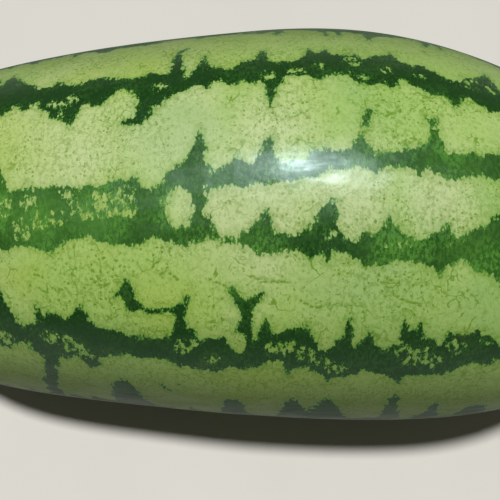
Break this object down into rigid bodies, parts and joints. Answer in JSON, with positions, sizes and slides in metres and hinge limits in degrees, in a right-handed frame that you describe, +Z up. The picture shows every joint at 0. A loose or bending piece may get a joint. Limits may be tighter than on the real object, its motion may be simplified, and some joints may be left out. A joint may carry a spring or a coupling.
{
  "type": "watermelon",
  "caption": "Long oval watermelon with light green rind, jagged dark stripes and a short dry stem stub, lying on a small flat spot.",
  "frame": {"origin": "centre of the small flat spot that the fruit lies on, under the middle of its weight", "axes": "+X along the fruit from the stem end to the blossom end, +Z up, and the blossom half bends towards -Y"},
  "size_m": [0.5274, 0.2402, 0.2317],
  "materials": {
    "rind": "smooth waxy rind, light green with dark green jagged stripes",
    "stem": "dry fibrous stalk"
  },
  "bodies": {
    "root": {"fruit": "rind", "stem": "stem"}
  },
  "joints": []
}
